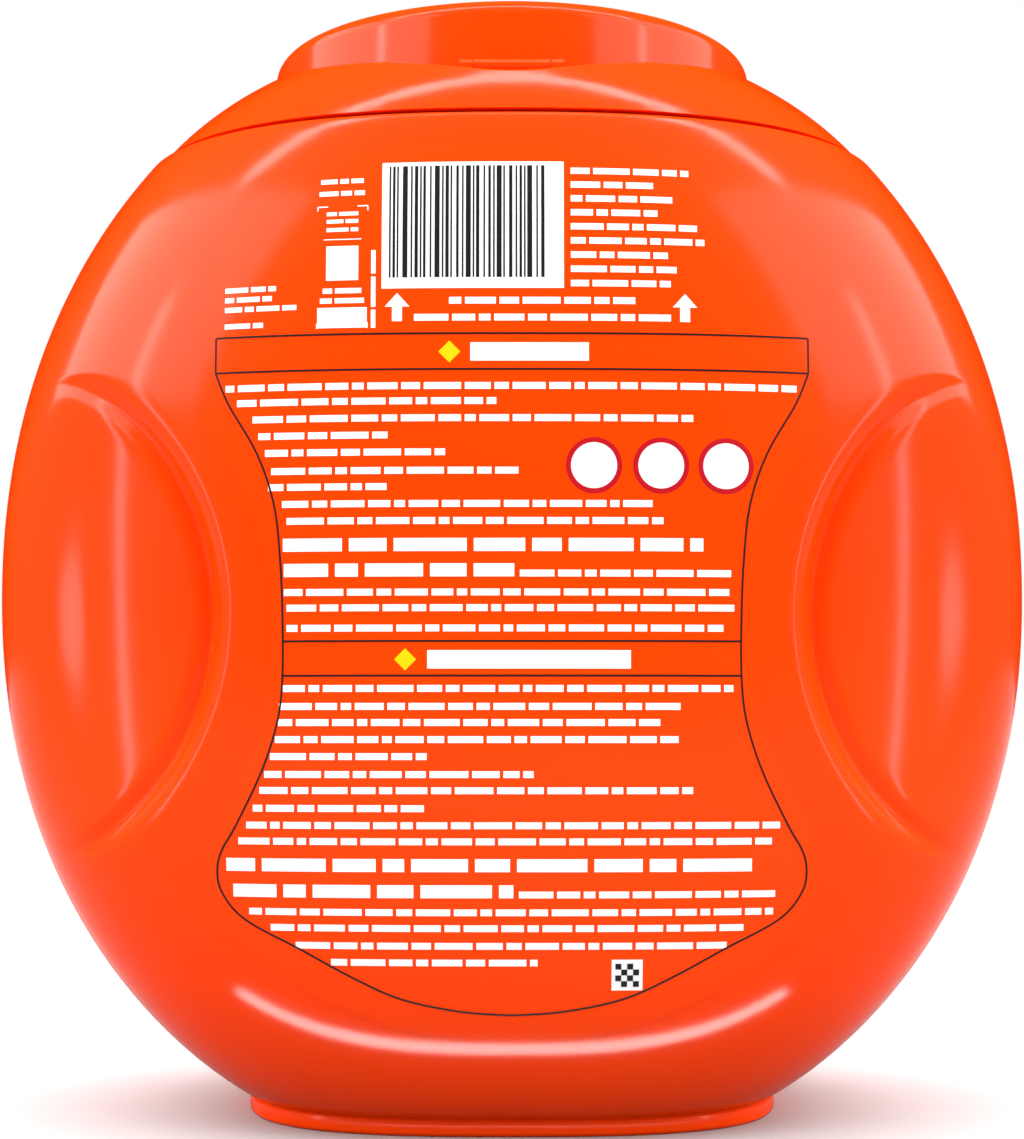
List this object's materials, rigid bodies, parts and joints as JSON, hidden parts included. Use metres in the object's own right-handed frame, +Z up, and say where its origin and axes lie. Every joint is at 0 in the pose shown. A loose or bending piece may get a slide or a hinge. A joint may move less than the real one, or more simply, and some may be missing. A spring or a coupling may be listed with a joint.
{
  "type": "laundry pod tub",
  "caption": "Large rounded plastic tub for laundry pods, with grip hollows in its sides, a raised shoulder collar, a round flip lid with press tabs and a plain hourglass back label.",
  "frame": {"origin": "centre of the foot at floor level", "axes": "+Z up; the back label faces -Y, the lid hinge is on the -Y side and the latch tabs on the +Y side; X is across the wide face"},
  "size_m": [0.251, 0.1604, 0.2595],
  "materials": {
    "tub_plastic": "glossy blow-moulded orange",
    "closure_plastic": "glossy injection-moulded orange",
    "label_film": "thin glossy orange film"
  },
  "bodies": {
    "tub": {"tub_body": "tub_plastic", "tub_neck": "tub_plastic", "back_label": "label_film", "collar": "closure_plastic", "mouth_ring": "closure_plastic"},
    "lid": {"flip_lid": "closure_plastic"},
    "left_tab": {"left_latch_tab": "closure_plastic"},
    "right_tab": {"right_latch_tab": "closure_plastic"}
  },
  "joints": [
    {"name": "lid_hinge", "type": "hinge", "parent": "tub", "child": "lid", "pos_m": [0, -0.0618, 0.2428], "axis": [1, 0, 0], "range_deg": [0, 95]},
    {"name": "left_tab_flex", "type": "hinge", "parent": "lid", "child": "left_tab", "pos_m": [-0.0339, 0.04841, 0.252], "axis": [-0.8192, -0.5736, 0], "range_deg": [0, 5], "stiffness_Nm_per_rad": 0.6},
    {"name": "right_tab_flex", "type": "hinge", "parent": "lid", "child": "right_tab", "pos_m": [0.0339, 0.04841, 0.252], "axis": [-0.8192, 0.5736, 0], "range_deg": [0, 5], "stiffness_Nm_per_rad": 0.6}
  ]
}
